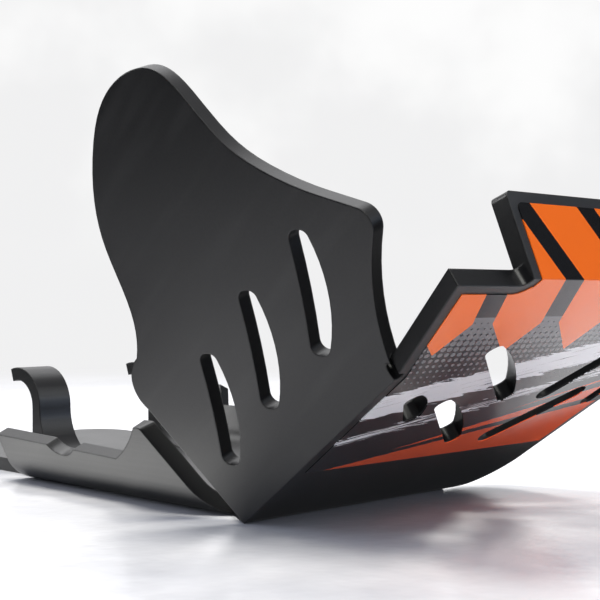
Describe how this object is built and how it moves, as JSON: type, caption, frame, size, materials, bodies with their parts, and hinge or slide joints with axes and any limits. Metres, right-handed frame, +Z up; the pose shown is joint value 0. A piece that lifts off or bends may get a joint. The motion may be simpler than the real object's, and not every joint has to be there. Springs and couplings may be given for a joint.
{
  "type": "motorcycle skid plate",
  "caption": "Folded plastic skid plate for a motorcycle: flat floor with rolled side flaps, slotted leaning front panel with a decal, upright tab, tall slotted side wing and rear hooks.",
  "frame": {"origin": "on the underside of the floor, under the middle of the floor's length and width", "axes": "+X across the motorcycle, away from the wing; +Y to the rear; +Z up"},
  "size_m": [0.2933, 0.5062, 0.2079],
  "materials": {
    "plate": "satin black, cut edges smooth",
    "decal": "printed film, orange, white and grey on black"
  },
  "bodies": {
    "root": {"skid_plate": "plate", "front_decal": "decal"}
  },
  "joints": []
}
